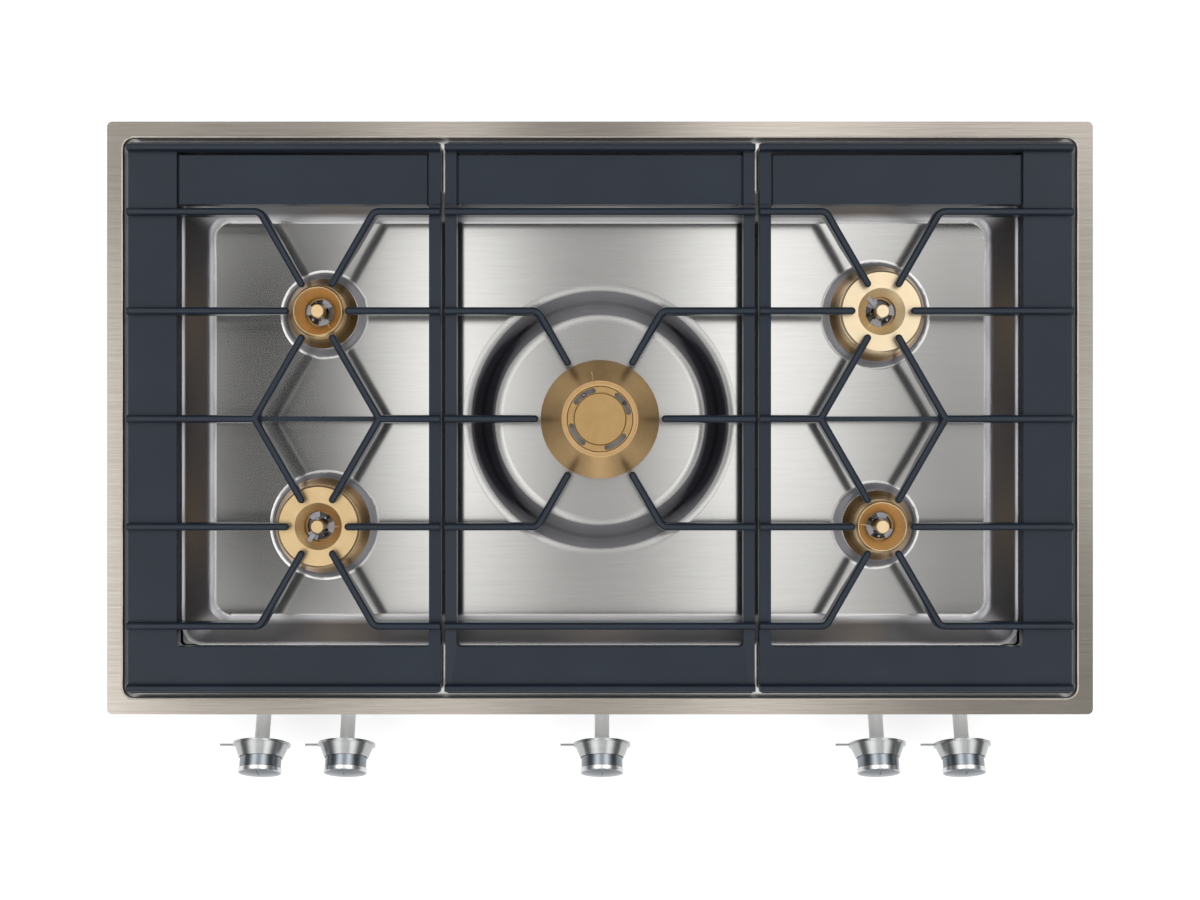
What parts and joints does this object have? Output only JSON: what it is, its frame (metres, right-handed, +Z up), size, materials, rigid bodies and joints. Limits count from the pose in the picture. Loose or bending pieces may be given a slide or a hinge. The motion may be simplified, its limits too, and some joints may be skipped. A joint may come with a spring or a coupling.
{
  "type": "gas cooktop",
  "caption": "Built-in gas cooktop: brushed steel tray, cast pan supports over brass burners, and turning and pressing knobs for the cabinet front below it.",
  "frame": {"origin": "middle of the worktop cut-out, at the level of the worktop's upper face", "axes": "+X to the cook's right, +Y away from the cook, +Z up"},
  "size_m": [0.908, 0.6177, 0.138],
  "materials": {
    "stainless_sheet": "brushed along the width, satin",
    "zinc_sheet": "zinc-coated sheet, dull",
    "steel_parts": "turned or drawn steel",
    "knob_steel": "turned stainless, satin",
    "cast_enamel": "matt charcoal enamel",
    "burner_brass": "turned, warm brown from heat",
    "valve_brass": "machined",
    "cast_alloy": "die cast",
    "pipe_alloy": "drawn tube",
    "foot_rubber": "matt black",
    "seal_foam": "matt grey-black",
    "module_plastic": "moulded, off-white",
    "sleeve_nylon": "moulded, natural white"
  },
  "bodies": {
    "cooktop": {"steel_tray": "stainless_sheet", "worktop_seal": "seal_foam", "under_box": "zinc_sheet", "hold_down_clamps": "zinc_sheet", "ignition_module": "module_plastic", "gas_manifold": "steel_parts", "gas_inlet": "steel_parts", "feed_pipes": "pipe_alloy", "injector_holders": "valve_brass", "ignition_electrodes": "steel_parts", "flame_sensors": "steel_parts", "valve_bodies": "valve_brass", "spindle_tubes": "sleeve_nylon", "knob_bezels": "knob_steel", "burner_base_center": "cast_alloy", "burner_base_rear_left": "cast_alloy", "burner_base_front_left": "cast_alloy", "burner_base_rear_right": "cast_alloy", "burner_base_front_right": "cast_alloy"},
    "pan_support_left": {"pan_support_left": "cast_enamel", "support_feet_left": "foot_rubber"},
    "pan_support_center": {"pan_support_center": "cast_enamel", "support_feet_center": "foot_rubber"},
    "pan_support_right": {"pan_support_right": "cast_enamel", "support_feet_right": "foot_rubber"},
    "burner_head_rear_left": {"burner_head_rear_left": "burner_brass"},
    "burner_ring_rear_left": {"burner_ring_rear_left": "burner_brass"},
    "burner_core_rear_left": {"burner_spider_rear_left": "steel_parts", "burner_pin_rear_left": "burner_brass"},
    "burner_head_front_left": {"burner_head_front_left": "burner_brass"},
    "burner_ring_front_left": {"burner_ring_front_left": "burner_brass"},
    "burner_core_front_left": {"burner_spider_front_left": "steel_parts", "burner_pin_front_left": "burner_brass"},
    "burner_head_rear_right": {"burner_head_rear_right": "burner_brass"},
    "burner_ring_rear_right": {"burner_ring_rear_right": "burner_brass"},
    "burner_core_rear_right": {"burner_spider_rear_right": "steel_parts", "burner_pin_rear_right": "burner_brass"},
    "burner_head_front_right": {"burner_head_front_right": "burner_brass"},
    "burner_ring_front_right": {"burner_ring_front_right": "burner_brass"},
    "burner_core_front_right": {"burner_spider_front_right": "steel_parts", "burner_pin_front_right": "burner_brass"},
    "burner_head_center": {"burner_head_center": "burner_brass"},
    "burner_cap_center": {"burner_cap_center": "burner_brass"},
    "valve_plug_rear_left": {"valve_plug_rear_left": "valve_brass"},
    "knob_rear_left": {"knob_cap_rear_left": "knob_steel", "knob_spindle_rear_left": "steel_parts"},
    "valve_plug_front_left": {"valve_plug_front_left": "valve_brass"},
    "knob_front_left": {"knob_cap_front_left": "knob_steel", "knob_spindle_front_left": "steel_parts"},
    "valve_plug_center": {"valve_plug_center": "valve_brass"},
    "knob_center": {"knob_cap_center": "knob_steel", "knob_spindle_center": "steel_parts"},
    "valve_plug_front_right": {"valve_plug_front_right": "valve_brass"},
    "knob_front_right": {"knob_cap_front_right": "knob_steel", "knob_spindle_front_right": "steel_parts"},
    "valve_plug_rear_right": {"valve_plug_rear_right": "valve_brass"},
    "knob_rear_right": {"knob_cap_rear_right": "knob_steel", "knob_spindle_rear_right": "steel_parts"}
  },
  "joints": [
    {"name": "pan_support_left_lift", "type": "slide", "parent": "cooktop", "child": "pan_support_left", "axis": [0, 0, 1], "range_m": [0, 0.06]},
    {"name": "pan_support_center_lift", "type": "slide", "parent": "cooktop", "child": "pan_support_center", "axis": [0, 0, 1], "range_m": [0, 0.06]},
    {"name": "pan_support_right_lift", "type": "slide", "parent": "cooktop", "child": "pan_support_right", "axis": [0, 0, 1], "range_m": [0, 0.06]},
    {"name": "burner_head_rear_left_lift", "type": "slide", "parent": "cooktop", "child": "burner_head_rear_left", "axis": [0, 0, 1], "range_m": [0, 0.014]},
    {"name": "burner_ring_rear_left_lift", "type": "slide", "parent": "burner_head_rear_left", "child": "burner_ring_rear_left", "axis": [0, 0, 1], "range_m": [0, 0.02]},
    {"name": "burner_core_rear_left_lift", "type": "slide", "parent": "burner_head_rear_left", "child": "burner_core_rear_left", "axis": [0, 0, 1], "range_m": [0, 0.025]},
    {"name": "burner_head_front_left_lift", "type": "slide", "parent": "cooktop", "child": "burner_head_front_left", "axis": [0, 0, 1], "range_m": [0, 0.003]},
    {"name": "burner_ring_front_left_lift", "type": "slide", "parent": "burner_head_front_left", "child": "burner_ring_front_left", "axis": [0, 0, 1], "range_m": [0, 0.003]},
    {"name": "burner_core_front_left_lift", "type": "slide", "parent": "burner_head_front_left", "child": "burner_core_front_left", "axis": [0, 0, 1], "range_m": [0, 0.025]},
    {"name": "burner_head_rear_right_lift", "type": "slide", "parent": "cooktop", "child": "burner_head_rear_right", "axis": [0, 0, 1], "range_m": [0, 0.003]},
    {"name": "burner_ring_rear_right_lift", "type": "slide", "parent": "burner_head_rear_right", "child": "burner_ring_rear_right", "axis": [0, 0, 1], "range_m": [0, 0.003]},
    {"name": "burner_core_rear_right_lift", "type": "slide", "parent": "burner_head_rear_right", "child": "burner_core_rear_right", "axis": [0, 0, 1], "range_m": [0, 0.025]},
    {"name": "burner_head_front_right_lift", "type": "slide", "parent": "cooktop", "child": "burner_head_front_right", "axis": [0, 0, 1], "range_m": [0, 0.014]},
    {"name": "burner_ring_front_right_lift", "type": "slide", "parent": "burner_head_front_right", "child": "burner_ring_front_right", "axis": [0, 0, 1], "range_m": [0, 0.02]},
    {"name": "burner_core_front_right_lift", "type": "slide", "parent": "burner_head_front_right", "child": "burner_core_front_right", "axis": [0, 0, 1], "range_m": [0, 0.025]},
    {"name": "burner_head_center_lift", "type": "slide", "parent": "cooktop", "child": "burner_head_center", "axis": [0, 0, 1], "range_m": [0, 0.04]},
    {"name": "burner_cap_center_lift", "type": "slide", "parent": "burner_head_center", "child": "burner_cap_center", "axis": [0, 0, 1], "range_m": [0, 0.02]},
    {"name": "knob_rear_left_turn", "type": "hinge", "parent": "cooktop", "child": "valve_plug_rear_left", "pos_m": [-0.32415, -0.311, -0.06], "axis": [0, -0.9272, 0.3746], "range_deg": [0, 210]},
    {"name": "knob_rear_left_press", "type": "slide", "parent": "valve_plug_rear_left", "child": "knob_rear_left", "axis": [0, 0.9272, -0.3746], "range_m": [0, 0.003], "stiffness_N_per_m": 1500, "springref_m": -0.003},
    {"name": "knob_front_left_turn", "type": "hinge", "parent": "cooktop", "child": "valve_plug_front_left", "pos_m": [-0.24265, -0.311, -0.06], "axis": [0, -0.9272, 0.3746], "range_deg": [0, 210]},
    {"name": "knob_front_left_press", "type": "slide", "parent": "valve_plug_front_left", "child": "knob_front_left", "axis": [0, 0.9272, -0.3746], "range_m": [0, 0.003], "stiffness_N_per_m": 1500, "springref_m": -0.003},
    {"name": "knob_center_turn", "type": "hinge", "parent": "cooktop", "child": "valve_plug_center", "pos_m": [0.0019, -0.311, -0.06], "axis": [0, -0.9272, 0.3746], "range_deg": [0, 210]},
    {"name": "knob_center_press", "type": "slide", "parent": "valve_plug_center", "child": "knob_center", "axis": [0, 0.9272, -0.3746], "range_m": [0, 0.003], "stiffness_N_per_m": 1500, "springref_m": -0.003},
    {"name": "knob_front_right_turn", "type": "hinge", "parent": "cooktop", "child": "valve_plug_front_right", "pos_m": [0.26555, -0.311, -0.06], "axis": [0, -0.9272, 0.3746], "range_deg": [0, 210]},
    {"name": "knob_front_right_press", "type": "slide", "parent": "valve_plug_front_right", "child": "knob_front_right", "axis": [0, 0.9272, -0.3746], "range_m": [0, 0.003], "stiffness_N_per_m": 1500, "springref_m": -0.003},
    {"name": "knob_rear_right_turn", "type": "hinge", "parent": "cooktop", "child": "valve_plug_rear_right", "pos_m": [0.34705, -0.311, -0.06], "axis": [0, -0.9272, 0.3746], "range_deg": [0, 210]},
    {"name": "knob_rear_right_press", "type": "slide", "parent": "valve_plug_rear_right", "child": "knob_rear_right", "axis": [0, 0.9272, -0.3746], "range_m": [0, 0.003], "stiffness_N_per_m": 1500, "springref_m": -0.003}
  ]
}
